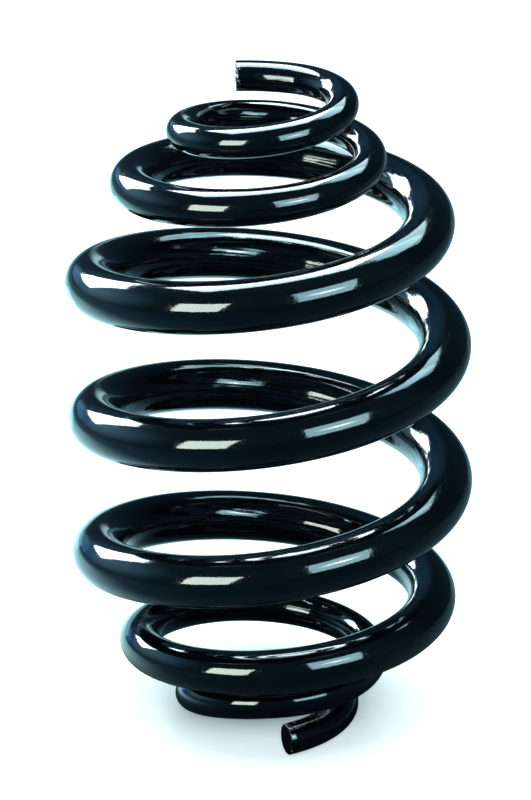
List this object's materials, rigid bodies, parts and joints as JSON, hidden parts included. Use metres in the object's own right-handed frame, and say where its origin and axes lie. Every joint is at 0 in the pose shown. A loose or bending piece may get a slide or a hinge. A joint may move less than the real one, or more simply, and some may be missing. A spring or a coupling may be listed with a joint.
{
  "type": "barrel coil spring",
  "caption": "Barrel-shaped helical compression spring of tapered round bar, with wide middle coils and a small pigtail coil at each end.",
  "frame": {"origin": "on the axis of the wide coils, in the plane that the lowest coil lies on", "axes": "+Z along the coil axis towards the upper end; -Y towards the side where the lower cut end shows; +X so that the bar climbs from -Y towards +X"},
  "size_m": [0.14, 0.14, 0.232],
  "materials": {
    "gloss_paint": "deep gloss black paint over steel, with a blue-green cast"
  },
  "bodies": {
    "root": {"coil_spring": "gloss_paint"}
  },
  "joints": []
}
